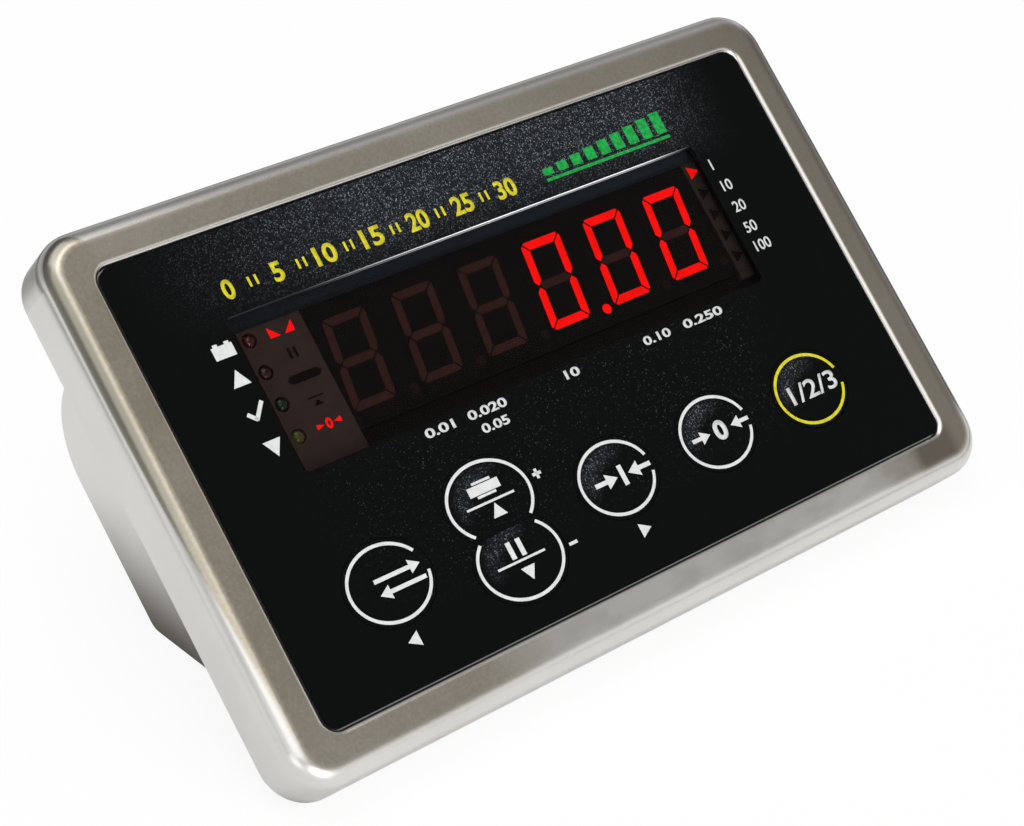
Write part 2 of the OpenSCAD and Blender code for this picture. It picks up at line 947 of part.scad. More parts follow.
module pointer_shape(i) {
    translate([pointer_x, digits_y + mark_rise - i * symbol_pitch])
        polygon([[-pointer_w / 2, -pointer_h / 2], [pointer_w / 2, 0], [-pointer_w / 2, pointer_h / 2]]);
}

module pointer_block() {
    color([0.08, 0.06, 0.055]) in_stance()
        difference() {
            layer(board_z, face_z)
                translate([pointer_x, pointer_block_y])
                    square([pointer_block_w, pointer_block_h], center = true);
            layer(face_z - inlay_t, face_z + cut)
                for (i = [0:4])
                    pointer_shape(i);
        }
}

module pointer_lit() {
    color("red") in_stance()
        layer(face_z - inlay_t, face_z)
            pointer_shape(0);
}

module pointers_dark() {
    color([0.12, 0.08, 0.07]) in_stance()
        layer(face_z - inlay_t, face_z)
            for (i = [1:4])
                pointer_shape(i);
}

// A lamp: a domed body in the symbol block, on two legs that reach the board
module lamp(i, paint) {
    lamp_top = face_z + inlay_t;
    lamp_body = 5;
    leg = 0.5;
    dome_z = lamp_top - lamp_d / 2;
    color(paint) in_stance()
        translate([0, 0, dome_z])
            at_lamp(i) {
                difference() {
                    sphere(d = lamp_d);
                    translate([0, 0, -lamp_d])
                        cube(2 * lamp_d, center = true);
                }
                translate([0, 0, -lamp_body])
                    cylinder(lamp_body, d = lamp_d);
                for (side = [-1, 1])
                    translate([side * lamp_d / 4, 0, (board_z - dome_z - lamp_body) / 2])
                        cube([leg, leg, dome_z - lamp_body - board_z], center = true);
            }
}

module lamp_battery() {
    lamp(0, "darkred");
}

module lamp_high() {
    lamp(1, "maroon");
}

module lamp_accept() {
    lamp(2, "darkgreen");
}

module lamp_low() {
    lamp(3, "olive");
}

// The display's outline, level along its top, with the symbols reaching lower than the digits
module display_outline() {
    digits_w = digit_count * digit_pitch + pointer_gap;
    for (block = [[symbol_x, symbol_block_w, symbol_block_h],
                  [digits_x + digits_w / 2, digits_w, module_h],
                  [pointer_x, pointer_block_w, pointer_block_h]])
        translate([block[0], block_top - block[2] / 2])
            square([block[1] + 2 * seat, block[2] + 2 * seat], center = true);
}

module display_shield() {
    shield_h = symbol_block_h + 2 * seat + 2 * shield_w;
    color([0.12, 0.13, 0.15]) in_stance()
        layer(board_z, face_z - shield_drop)
            difference() {
                translate([window_x + display_shift, symbol_block_y])
                    square([display_w + 2 * seat + 2 * shield_w, shield_h], center = true);
                display_outline();
            }
}

// Boards
module display_board() {
    color("darkgreen") in_stance()
        difference() {
            layer(board_back, board_z)
                translate([-board_w / 2, board_low])
                    square([board_w, board_high - board_low]);
            at_fixings()
                translate([0, 0, board_back - cut])
                    cylinder(board_t + 2 * cut, d = board_screw_d + 2 * slip);
        }
}

module tail_socket() {
    color("ivory") in_stance()
        difference() {
            layer(board_z, board_z + tail_socket_h)
                translate([0, tail_y])
                    square([tail_w + 2 * tail_wall, tail_socket_t], center = true);
            layer(board_z + tail_socket_h - tail_entry, board_z + tail_socket_h + cut)
                translate([0, tail_y])
                    square([tail_w + 2 * slip, tail_t + 2 * slip], center = true);
        }
}

module board_link() {
    color([0.1, 0.1, 0.1]) in_stance()
        layer(main_z, board_back)
            translate([0, link_y])
                square([link_w, link_t], center = true);
}

module main_board() {
    color("darkgreen") in_stance()
        difference() {
            layer(main_back, main_z)
                translate([0, main_board_y])
                    square([board_w, main_board_h], center = true);
            at_fixings()
                translate([0, 0, main_back - cut])
                    cylinder(board_t + 2 * cut, d = board_screw_d + 2 * slip);
        }
}

module board_studs() {
    color("gainsboro") in_stance()
        at_fixings()
            difference() {
                layer(board_z, floor_back)
                    circle(d = stud_d);
                translate([0, 0, board_z - cut])
                    cylinder(thread_l + cut, d = board_screw_d + 2 * slip);
            }
}

module board_pillars() {
    pillar_thread = board_t + thread_l - seat;
    color("goldenrod") in_stance()
        at_fixings() {
            difference() {
                layer(main_z, board_back)
                    circle(d = pillar_hex / cos(30), $fn = 6);
                translate([0, 0, main_z - cut])
                    cylinder(thread_l + cut, d = board_screw_d + 2 * slip);
            }
            translate([0, 0, board_back])
                cylinder(pillar_thread, d = board_screw_d);
        }
}

module board_screws() {
    color("lightgray") in_stance()
        at_fixings()
            translate([0, 0, main_back])
                screw(board_screw_d, board_t + thread_l - seat, screw_head_d, screw_head_h);
}

// The main board's bays at either side of the battery tray
bay_w = (board_w - tray_w) / 2;
bay_x = (board_w + tray_w) / 4;
chip_hs = [14, 8, 8];
chip_t = 1.6;
chip_w_shares = [0.37, 0.26, 0.26];
chip_y_shares = [0.03, -0.21, 0.27];
cover_h = 20;
cover_t = 5;
cover_w_share = 0.67;
cover_y_share = 0.05;
capacitor_d_share = 0.21;
capacitor_l_share = 0.33;
capacitor_x_shares = [-0.26, 0, 0.26];
capacitor_y_share = -0.3;
terminal_h = 8;
terminal_t = 7;
terminal_w_share = 0.39;
terminal_x_shares = [-0.2, 0.22];
terminal_y_share = -0.36;

// A place in a bay on the back of the main board, for a piece that stands h high
module in_bay(side, share, h) {
    translate([side * bay_x + share[0] * bay_w, main_board_y + share[1] * main_board_h, main_back - h])
        children();
}

module bay_block(w_share, h, t) {
    linear_extrude(t)
        square([w_share * bay_w, h], center = true);
}

module board_chips() {
    color([0.08, 0.08, 0.08]) in_stance()
        for (i = [0:len(chip_hs) - 1])
            in_bay(-1, [0, chip_y_shares[i]], chip_t)
                bay_block(chip_w_shares[i], chip_hs[i], chip_t);
}

module converter_cover() {
    can_t = 0.4;
    color("silver") in_stance()
        in_bay(1, [0, cover_y_share], cover_t)
            difference() {
                bay_block(cover_w_share, cover_h, cover_t);
                translate([0, 0, can_t])
                    linear_extrude(cover_t)
                        square([cover_w_share * bay_w - 2 * can_t, cover_h - 2 * can_t], center = true);
            }
}

module capacitors() {
    capacitor_l = capacitor_l_share * (rear_depth + main_back);
    color("steelblue") in_stance()
        for (x = capacitor_x_shares)
            in_bay(1, [x, capacitor_y_share], capacitor_l)
                cylinder(capacitor_l, d = capacitor_d_share * bay_w);
}

module terminal_blocks() {
    color("seagreen") in_stance()
        for (x = terminal_x_shares)
            in_bay(-1, [x, terminal_y_share], terminal_t)
                bay_block(terminal_w_share, terminal_h, terminal_t);
}

module battery_tray() {
    color([0.12, 0.12, 0.13]) in_stance()
        translate([0, tray_y, 0])
            difference() {
                layer(tray_floor - tray_wall_h, main_back)
                    square([tray_w, tray_h], center = true);
                layer(tray_floor - tray_wall_h - cut, tray_floor)
                    square([tray_w - 2 * tray_t, tray_h - 2 * tray_t], center = true);
            }
}

module battery_cells() {
    color("mediumseagreen") in_stance()
        for (i = [0:cell_count - 1])
            translate([(i - (cell_count - 1) / 2) * cell_step, tray_y, cell_z])
                rotate([90, 0, 0]) {
                    translate([0, 0, -cell_l / 2])
                        cylinder(cell_l - cell_cap_h, d = cell_d);
                    cylinder(cell_l / 2, d = cell_cap_d);
                }
}

// Cable glands on the back wall
module at_glands() {
    for (x = gland_xs)
        on_back_wall(x)
            children();
}

module gland_washers() {
    color([0.1, 0.1, 0.1]) in_stance()
        at_glands()
            difference() {
                cylinder(washer_t, d = washer_d);
                translate([0, 0, -cut])
                    cylinder(washer_t + 2 * cut, d = gland_thread_d + 2 * slip);
            }
}

module gland_bodies() {
    color([0.14, 0.14, 0.15]) in_stance()
        at_glands()
            difference() {
                union() {
                    translate([0, 0, washer_t])
                        cylinder(gland_flange_t, d = gland_hex / cos(30), $fn = 6);
                    translate([0, 0, gland_neck_z])
                        cylinder(gland_neck_l, d = gland_neck_d);
                    translate([0, 0, -sheet_t - gland_tail_l])
                        cylinder(gland_tail_l + sheet_t + washer_t, d = gland_thread_d);
                }
                translate([0, 0, -sheet_t - gland_tail_l - cut])
                    cylinder(gland_tip + gland_tail_l, d = gland_bore_d);
                translate([0, 0, gland_neck_z])
                    cylinder(gland_neck_l + cut, d = seal_d);
            }
}

module gland_seals() {
    color("dimgray") in_stance()
        at_glands()
            translate([0, 0, gland_neck_z])
                difference() {
                    cylinder(seal_l, d = seal_d);
                    translate([0, 0, -cut])
                        cylinder(seal_l + 2 * cut, d = gland_cable_d);
                }
}

module gland_caps() {
    cap_base = gland_neck_z + cap_gap;
    color([0.14, 0.14, 0.15]) in_stance()
        at_glands()
            difference() {
                translate([0, 0, cap_base])
                    rotate_extrude() {
                        square([cap_d / 2, gland_cap_l - cap_edge]);
                        square([cap_d / 2 - cap_edge, gland_cap_l]);
                        translate([cap_d / 2 - cap_edge, gland_cap_l - cap_edge])
                            circle(cap_edge);
                    }
                translate([0, 0, cap_base - cut])
                    cylinder(gland_cap_l + 2 * cut, d = gland_bore_d);
                translate([0, 0, cap_base - cut])
                    cylinder(seal_l + cut, d = gland_neck_d + 2 * slip);
            }
}

module gland_locknuts() {
    color([0.14, 0.14, 0.15]) in_stance()
        at_glands()
            translate([0, 0, -sheet_t - gland_nut_t])
                difference() {
                    cylinder(gland_nut_t, d = gland_hex / cos(30), $fn = 6);
                    translate([0, 0, -cut])
                        cylinder(gland_nut_t + 2 * cut, d = gland_thread_d + 2 * slip);
                }
}

// Power switch on the back wall, with its rocker's pivot in the wall's outer plane
module switch_housing() {
    color([0.05, 0.05, 0.055]) in_stance()
        on_back_wall(switch_x)
            difference() {
                union() {
                    linear_extrude(switch_rim)
                        square([switch_l, switch_w], center = true);
                    translate([0, 0, -switch_depth])
                        linear_extrude(switch_depth)
                            square([switch_body_l, switch_body_w], center = true);
                }
                translate([0, 0, -cavity_depth])
                    linear_extrude(cavity_depth + switch_rim + cut)
                        square([cavity_l, rocker_w + 2 * rocker_side_gap], center = true);
                rotate([90, 0, 0])
                    cylinder(rocker_w + 2 * rocker_side_gap + 2 * pin_l, d = pin_d + 2 * slip, center = true);
            }
}

module switch_rocker() {
    half = rocker_l / 2;
    color([0.04, 0.04, 0.045]) in_stance()
        on_back_wall(switch_x)
            rotate([0, rocker_tilt, 0])
                rotate([90, 0, 0]) {
                    linear_extrude(rocker_w, center = true)
                        polygon([[-half, rocker_rise], [-rocker_foot, -rocker_waist], [-rocker_base, -rocker_base],
                                 [rocker_base, -rocker_base], [rocker_foot, -rocker_waist], [half, rocker_rise],
                                 [0, rocker_dip]]);
                    cylinder(rocker_w + 2 * rocker_side_gap + pin_l, d = pin_d, center = true);
                }
}

module switch_tabs() {
    color("gold") in_stance()
        on_back_wall(switch_x)
            for (side = [-1, 1])
                translate([side * switch_tab_step / 2, 0, -switch_depth - switch_tab_l / 2])
                    cube([switch_tab_t, switch_tab_w, switch_tab_l], center = true);
}

front_shell();
rear_shell();
shell_gasket();
shell_posts();
shell_screws();
keypad_overlay();
keypad_spacer();
keypad_circuit();
keypad_tail();
snap_domes();
display_window();
key_net();
key_print();
key_hold();
key_tare();
key_zero();
key_unit();
digit_1();
digit_2();
digit_3();
digit_4();
digit_5();
digit_6();
bars_lit();
bars_dark();
symbol_block();
symbols_lit();
symbols_dark();
pointer_block();
pointer_lit();
pointers_dark();
lamp_battery();
lamp_high();
lamp_accept();
lamp_low();
display_shield();
display_board();
tail_socket();
board_link();
main_board();
board_studs();
board_pillars();
board_screws();
board_chips();
converter_cover();
capacitors();
terminal_blocks();
battery_tray();
battery_cells();
gland_bodies();
gland_washers();
gland_seals();
gland_caps();
gland_locknuts();
switch_housing();
switch_rocker();
switch_tabs();
bracket_nuts();
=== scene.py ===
import json
import math

import bmesh
import bpy
from mathutils import Matrix, Vector


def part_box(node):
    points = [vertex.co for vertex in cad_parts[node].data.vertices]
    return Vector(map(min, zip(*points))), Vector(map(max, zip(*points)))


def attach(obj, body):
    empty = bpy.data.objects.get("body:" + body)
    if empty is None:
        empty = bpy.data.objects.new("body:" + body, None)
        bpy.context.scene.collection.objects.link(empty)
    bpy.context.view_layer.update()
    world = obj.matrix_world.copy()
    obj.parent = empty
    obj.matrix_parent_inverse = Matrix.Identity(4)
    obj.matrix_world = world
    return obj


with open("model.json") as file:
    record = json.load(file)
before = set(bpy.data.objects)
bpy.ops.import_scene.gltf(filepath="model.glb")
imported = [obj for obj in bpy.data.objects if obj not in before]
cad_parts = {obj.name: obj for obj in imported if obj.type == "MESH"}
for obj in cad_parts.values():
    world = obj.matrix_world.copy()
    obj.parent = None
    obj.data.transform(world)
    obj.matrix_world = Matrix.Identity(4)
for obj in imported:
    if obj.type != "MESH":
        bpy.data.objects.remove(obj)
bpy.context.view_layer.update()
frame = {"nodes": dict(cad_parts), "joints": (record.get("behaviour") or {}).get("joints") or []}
nodes = frame["nodes"]
joints = {joint["name"]: joint for joint in frame["joints"]}
mm = 0.001
print("frame loaded")

# The sloping panel's own axes: right, up the panel, and out of it, in millimetres from the middle
# of its outer face, which lies half the overlay's thickness above the middle of the overlay
overlayHalf = 0.2
panelOut = -Vector(joints["net_press"]["axis"])
panelRight = Vector((1, 0, 0))
panelUp = panelOut.cross(panelRight)
overlayLow, overlayHigh = (Vector(corner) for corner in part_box("keypad_overlay"))
panelCentre = (overlayLow + overlayHigh) / 2 + panelOut * overlayHalf * mm
panelTilt = math.atan2(-panelOut.y, panelOut.z)


def axesAt(place, right, up, out):
    turn = Matrix((right, up, out)).transposed().to_4x4()
    return Matrix.Translation(place) @ turn @ Matrix.Scale(mm, 4)


panelPlace = axesAt(panelCentre, panelRight, panelUp, panelOut)

# The same for the back wall, from the rocker's hinge, which lies in the wall's outer plane
wallAcross = Vector(joints["power_rocker"]["axis"])
wallOut = panelRight.cross(wallAcross)
rockerPlace = axesAt(Vector(joints["power_rocker"]["pos_m"]), panelRight, wallAcross, wallOut)


# Camera and light
cameraPlace = {
    "lens": 87.94,
    "sensor": 36,
    "eye": (-302.18, -71.25, 428.45),
    "aim": (-15.35, -7.67, 0),
    "roll": 0.898,
}


def placeCamera():
    data = bpy.data.cameras.new("camera")
    data.lens = cameraPlace["lens"]
    data.sensor_width = cameraPlace["sensor"]
    data.clip_start = 0.01
    eye = panelPlace @ Vector(cameraPlace["eye"])
    aim = panelPlace @ Vector(cameraPlace["aim"])
    camera = bpy.data.objects.new("camera", data)
    bpy.context.scene.collection.objects.link(camera)
    look = (aim - eye).to_track_quat("-Z", "Y").to_matrix().to_4x4()
    camera.matrix_world = (
        Matrix.Translation(eye) @ look @ Matrix.Rotation(math.radians(cameraPlace["roll"]), 4, "Z")
    )
    bpy.context.scene.camera = camera


placeCamera()
print("camera placed")


# Wraps a socket, so that shader maths reads as plain Python
class Wire:
    def __init__(self, tree, socket=None):
        self.tree = tree
        self.socket = socket

    # Makes any node: its settings first, then the values or links of its sockets
    def add(self, kind, settings=None, sockets=None, out=0):
        node = self.tree.nodes.new(kind)
        for name, value in (settings or {}).items():
            if name == "stops":
                ramp = node.color_ramp
                while len(ramp.elements) < len(value):
                    ramp.elements.new(0.5)
                for element, (place, colour) in zip(ramp.elements, value):
                    element.position = place
                    element.color = colour
            else:
                setattr(node, name, value)
        for name, value in (sockets or {}).items():
            if isinstance(value, Wire):
                self.tree.links.new(value.socket, node.inputs[name])
            else:
                node.inputs[name].default_value = value
        return Wire(self.tree, node.outputs[out])

    def sum(self, operation, first, second=0.0, third=0.0):
        return self.add("ShaderNodeMath", {"operation": operation}, {0: first, 1: second, 2: third})

    def __add__(self, other):
        return self.sum("ADD", self, other)

    def __sub__(self, other):
        return self.sum("SUBTRACT", self, other)

    def __mul__(self, other):
        return self.sum("MULTIPLY", self, other)

    def __truediv__(self, other):
        return self.sum("DIVIDE", self, other)

    def __rsub__(self, other):
        return self.sum("SUBTRACT", other, self)

    __radd__ = __add__
    __rmul__ = __mul__

    # Rises smoothly from nought at the low value to one at the high value
    def between(self, low, high):
        ends = {"Value": self, "From Min": low, "From Max": high}
        return self.add("ShaderNodeMapRange", {"interpolation_type": "SMOOTHSTEP"}, ends)

    def blend(self, first, second):
        return self.add("ShaderNodeMix", {"data_type": "RGBA"}, {0: self, 6: first, 7: second}, out=2)

    # Panel coordinates in metres, stretched by the three factors given
    def panel(self, stretch=(1, 1, 1)):
        place = self.add("ShaderNodeTexCoord", out="Object")
        return self.add(
            "ShaderNodeMapping",
            {"vector_type": "TEXTURE"},
            {
                "Vector": place,
                "Location": panelCentre,
                "Rotation": (panelTilt, 0, 0),
                "Scale": tuple(1 / s for s in stretch),
            },
        )

    # The three coordinates of a vector
    def axes(self):
        return [self.add("ShaderNodeSeparateXYZ", {}, {"Vector": self}, out=axis) for axis in "XYZ"]

    # One inside a smooth edged band, nought outside it
    def band(self, low, high, edge):
        return self.between(low, low + edge) * (1 - self.between(high - edge, high))

    def noise(self, vector, scale, detail=2.0, roughness=0.5):
        return self.add(
            "ShaderNodeTexNoise", {}, {"Vector": vector, "Scale": scale, "Detail": detail, "Roughness": roughness}
        )

    def bump(self, height, strength, distance):
        return self.add("ShaderNodeBump", {}, {"Height": height, "Strength": strength, "Distance": distance})


def tone(red, green, blue):
    def linear(value):
        value /= 255
        return value / 12.92 if value <= 0.04045 else ((value + 0.055) / 1.055) ** 2.4

    return (linear(red), linear(green), linear(blue), 1)


def finish(name, constants, varying=None):
    material = bpy.data.materials.new(name)
    material.use_nodes = True
    tree = material.node_tree
    shader = tree.nodes["Principled BSDF"]
    for socket, value in constants.items():
        shader.inputs[socket].default_value = value
    if varying:
        for socket, wire in varying(Wire(tree)).items():
            tree.links.new(wire.socket, shader.inputs[socket])
    return material


def dress(material, *names):
    for name in names:
        for slot in nodes[name].material_slots:
            slot.material = material


# Stainless steel sheet with a satin finish; painted reflection makes its front rim brownish and lighter along its
# lower side.
# Places are in metres from the panel's centre, from where a mark starts to where it is full.
steelLook = {
    "wall": tone(218, 216, 213),
    "wallShade": tone(208, 206, 202),
    # Rim tones: a brownish painted reflection on the same steel as the walls
    "rim": tone(188, 180, 165),
    "rimShade": tone(175, 166, 149),
    # Lighter tone of the painted reflection along the lower rim
    "rimLight": tone(232, 230, 225),
    # Tone of the painted dark reflections on the rim
    "darkReflection": tone(122, 112, 98),
    # Tone of the painted dark reflection along the right outer edge
    "edge": tone(84, 78, 71),
    # Painted shade on the upper part of the left rounding
    "round": tone(126, 124, 115),
    "bend": tone(96, 89, 82),
    "roughness": 0.26,
    "smearsAndReflectionDown": (0.0465, 0.0505),
    "smearsAndReflectionAcross": (-0.052, 0.086, 0.03),
    "darkReflectionDown": (0.046, 0.05),
    "darkReflectionAcross": (0.073, 0.09, 0.006),
    "darkerAcross": (0.02, 0.092),
    "darkerAmount": 0.5,
    "edgeAcross": (0.0915, 0.0945),
    "edgeDown": (0.044, 0.052),
    "edgeOut": (-0.002, 0.0),
    "roundUp": (-0.05, 0.03),
    "roundAcross": (-0.09, -0.085),
    "roundOut": (0.0001, 0.0004),
    "roundAmount": 0.85,
    "rimOut": (0.0001, 0.0006),
    "rimReach": 0.0018,
}


def steelWall(fine, clouds):
    return (fine * 0.2 + clouds * 0.8).between(0.25, 0.75).blend(steelLook["wallShade"], steelLook["wall"])


def steelGrain(w, fine, clouds):
    return {
        "Roughness": fine * 0.02 + clouds * 0.06 + (steelLook["roughness"] - 0.04),
        "Normal": w.bump(fine, 0.02, 0.00001),
    }


def satinSteel(w):
    look = steelLook
    place = w.panel()
    x, y, z = place.axes()
    fine = w.noise(place, 1300, 3, 0.6)
    clouds = w.noise(place, 30, 3, 0.6)
    smears = w.noise(w.panel((0.6, 1, 1)), 110, 3, 0.6)
    down = 0 - y
    # Painted reflection: the rim's mottled brownish tone
    rim = (fine * 0.5 + clouds * 0.5).between(0.36, 0.64).blend(look["rimShade"], look["rim"])
    # Painted reflection lightens the lower rim, broken up by smears, with a painted dark reflection before its
    # right corner
    lower = down.between(*look["smearsAndReflectionDown"]) * x.band(*look["smearsAndReflectionAcross"])
    lower = lower * (smears.between(0.32, 0.6) * 0.3 + 0.7)
    rim = lower.blend(rim, look["rimLight"])
    # Painted dark reflection before the lower right corner, and painted darker reflection towards the rim's right
    # side
    darkReflection = down.between(*look["darkReflectionDown"]) * x.band(*look["darkReflectionAcross"]) * 0.8
    darker = x.between(*look["darkerAcross"]) * (1 - lower) * look["darkerAmount"]
    rim = (darkReflection + darker).blend(rim, look["darkReflection"])
    # Painted dark reflection along the right rim's outer edge, carried onto the wall beside it
    outerEdge = x.between(*look["edgeAcross"]) * (1 - down.between(*look["edgeDown"])) * 0.95
    rim = outerEdge.blend(rim, look["edge"])
    # Painted shade on the left rounding: a darker tone and the rim's tone at its top, the lighter wall tone towards
    # the lower corner, where its highlight shows bright
    upper = y.between(*look["roundUp"]) * (1 - x.between(*look["roundAcross"]))
    rim = (upper * (1 - z.between(*look["roundOut"])) * look["roundAmount"]).blend(rim, look["round"])
    face = (z + upper * look["rimReach"]).between(*look["rimOut"])
    side = (outerEdge * z.between(*look["edgeOut"])).blend(steelWall(fine, clouds), look["edge"])
    return {"Base Color": face.blend(side, rim), **steelGrain(w, fine, clouds)}


# Painted shade: the rear shell darkens towards the desk
def satinSteelBehind(w):
    place = w.panel()
    height = w.add("ShaderNodeTexCoord", out="Object").axes()[2]
    fine = w.noise(place, 1300, 3, 0.6)
    clouds = w.noise(place, 26, 3, 0.55)
    shade = (height + clouds * 0.006).between(-0.002, 0.032)
    return {"Base Color": shade.blend(steelLook["bend"], steelWall(fine, clouds)), **steelGrain(w, fine, clouds)}


dress(finish("satinSteel", {"Metallic": 1.0}, satinSteel), "front_shell")
dress(finish("satinSteelBehind", {"Metallic": 1.0}, satinSteelBehind), "rear_shell")


# Bright plated steel of the small turned parts
platedLook = {
    "dark": tone(186, 188, 190),
    "light": tone(214, 216, 218),
    "grainScale": 700,
    "roughness": 0.18,
}


def platedSteel(w):
    marks = w.noise(w.panel(), platedLook["grainScale"], 3, 0.6)
    return {
        "Base Color": marks.between(0.3, 0.7).blend(platedLook["dark"], platedLook["light"]),
        "Roughness": marks * 0.15 + platedLook["roughness"],
    }


plated = finish("platedSteel", {"Metallic": 1.0}, platedSteel)
dress(plated, "shell_screws", "shell_posts", "board_screws", "board_studs", "bracket_nuts", "snap_domes")

# Black film of the keypad, with painted glints of its grain and a painted sheen, most along the top and on the
# keys.
# Places are in metres from the panel's centre, but a key's reach and slope are in millimetres
# from its own.
filmLook = {
    "base": tone(8, 9, 9),
    "paintedSheen": tone(28, 30, 33),
    # Colour of the painted glints
    "grain": tone(172, 180, 190),
    "grainScale": 5200,
    "roughness": 0.5,
    "topUp": (0.026, 0.044),
    "topFrom": (-0.085, -0.01),
    "topTo": (0.05, 0.078),
    "middleUp": (-0.04, 0.006, 0.014),
    "middleAcross": (-0.074, 0.066, 0.03),
    "keyReach": (3.0, 9.6, 2.6),
    "keySlope": (0.5, 8.0),
    "keyFrom": (-0.06, -0.02),
    "keyShine": 0.7,
    "paintedSheenAmount": 0.75,
}
keyCentres = {
    "key_net": (-59.89, -29.1),
    "key_print": (-30.1, -22.3),
    "key_hold": (-30.1, -35.9),
    "key_tare": (0.4, -29.1),
    "key_zero": (29.31, -29.1),
    "key_unit": (58.2, -29.1),
}


def filmOf(key):
    def varying(w):
        look = filmLook
        place = w.panel()
        x, y, z = place.axes()
        cells = w.add("ShaderNodeTexVoronoi", {}, {"Vector": place, "Scale": look["grainScale"]}, out="Color")
        grain = w.add("ShaderNodeRGBToBW", {}, {"Color": cells})
        patches = w.noise(place, 60, 2, 0.5).between(0.35, 0.65)
        top = y.between(*look["topUp"]) * x.between(*look["topFrom"]) * (1 - x.between(*look["topTo"]))
        middle = y.band(*look["middleUp"]) * x.band(*look["middleAcross"]) * (patches * 0.7 + 0.3)
        shine = top * (patches * 0.2 + 0.8)
        if key:
            # Painted highlight: glints and sheen along a raised key's upper left edge
            across = x * (1 / mm) - keyCentres[key][0]
            up = y * (1 / mm) - keyCentres[key][1]
            reach = w.sum("SQRT", across * across + up * up * 1.35)
            slope = (up - across * 0.75).between(*look["keySlope"]) * x.between(*look["keyFrom"])
            shine = slope * reach.band(*look["keyReach"]) * look["keyShine"]
        # Painted glints: light specks, dense where the painted sheen lies and sparse across the middle
        dense = (grain.between(0.5, 1.0) * 0.16 + grain.between(0.78, 0.86) * 0.36) * shine
        sparse = grain.between(0.84, 0.95) * middle * 0.14
        ground = (shine * look["paintedSheenAmount"]).blend(look["base"], look["paintedSheen"])
        return {
            "Base Color": (dense + sparse).blend(ground, look["grain"]),
            "Roughness": grain * 0.2 + (look["roughness"] - 0.1),
            "Normal": w.bump(grain, 0.05, 0.000005),
        }

    return varying


dress(finish("keypadFilm", {"Specular IOR Level": 0.03}, filmOf(None)), "keypad_overlay")
for key in keyCentres:
    dress(finish(key.replace("key_", "") + "Film", {"Specular IOR Level": 0.03}, filmOf(key)), key)

# Clear window of the keypad, smoked, with a dark border and a painted highlight along its top edge
windowLook = {
    "centre": (-0.0018, 0.0148),
    "half": (0.0638, 0.01765),
    "corner": 0.0015,
    "border": 0.0005,
    "borderSoft": 0.0001,
    "borderEnd": (0.028, 0.03),
    "borderAmount": 0.85,
    "tint": tone(7, 5, 5),
    "alpha": 0.24,
    "topEdge": 0.03225,
    "edgeDim": tone(40, 46, 48),
    "edgeLight": tone(250, 252, 255),
    "edgeWidth": 0.00005,
    "glintFrom": (-0.05, 0.005),
    "glintTo": (0.045, 0.062),
}


def smokedWindow(w):
    look = windowLook
    place = w.panel()
    x, y, z = place.axes()
    dust = w.noise(place, 900, 3, 0.6)
    # Painted highlight along the top edge, bright in the middle and dim towards its ends
    edge = y.between(look["topEdge"] - look["edgeWidth"], look["topEdge"])
    glint = x.between(*look["glintFrom"]) * (1 - x.between(*look["glintTo"])) * (dust * 0.1 + 0.9)
    bright = glint.blend(look["edgeDim"], look["edgeLight"])
    # Distance inwards from the rounded outline, for the border
    past = []
    for axis, centre, half in zip((x, y), look["centre"], look["half"]):
        away = w.sum("ABSOLUTE", axis - centre)
        past.append(w.sum("MAXIMUM", away - (half - look["corner"]), 0.0))
    inwards = look["corner"] - w.sum("SQRT", past[0] * past[0] + past[1] * past[1])
    border = 1 - inwards.between(look["border"] - look["borderSoft"], look["border"])
    border = border * (1 - y.between(*look["borderEnd"])) * look["borderAmount"]
    solid = w.sum("MAXIMUM", edge, border)
    return {
        "Base Color": edge.blend(look["tint"], bright),
        "Roughness": dust * 0.08 + 0.04,
        "Alpha": solid * (1 - look["alpha"]) + look["alpha"],
    }


dress(finish("smokedWindow", {"Specular IOR Level": 0.1}, smokedWindow), "display_window")

# Display parts
displayLook = {
    "module": tone(15, 11, 9),
    "unlit": tone(66, 38, 33),
    "unlitPoint": tone(34, 21, 18),
    "lit": tone(255, 7, 2),
    "glow": 1.5,
    "block": tone(66, 51, 47),
    "pointerBlock": tone(58, 50, 45),
    "mark": tone(19, 10, 8),
    # Decimal points: one centre, their pitch and their height on the panel, in metres
    "pointX": 0.00365,
    "pointPitch": 0.0177,
    "pointUp": (0.004, 0.0071, 0.0001),
    "pointReach": (0.075, 0.08),
}


def darker(colour, share):
    return tuple(channel * share for channel in colour[:3]) + (1,)


# A plain surface, mottled between its colour and a share of it
def surface(name, colour, scale, share, roughness, spread=0.1, **constants):
    def varying(w):
        mottle = w.noise(w.panel(), scale, 3, 0.55)
        return {
            "Base Color": mottle.between(0.35, 0.65).blend(darker(colour, share), colour),
            "Roughness": mottle * spread + (roughness - spread / 2),
        }

    sockets = {key.replace("_", " "): value for key, value in constants.items()}
    return finish(name, sockets, varying)


dress(
    surface("moduleEpoxy", displayLook["module"], 300, 0.8, 0.4, Specular_IOR_Level=0.08),
    "digit_1", "digit_2", "digit_3", "digit_4", "digit_5", "digit_6",
)
dress(surface("blockFace", displayLook["block"], 300, 0.88, 0.5, Specular_IOR_Level=0.1), "symbol_block")
dress(surface("pointerFace", displayLook["pointerBlock"], 300, 0.88, 0.5, Specular_IOR_Level=0.1), "pointer_block")
dress(
    surface("unlitMarks", displayLook["mark"], 500, 0.85, 0.45, Specular_IOR_Level=0.05),
    "symbols_dark", "pointers_dark",
)


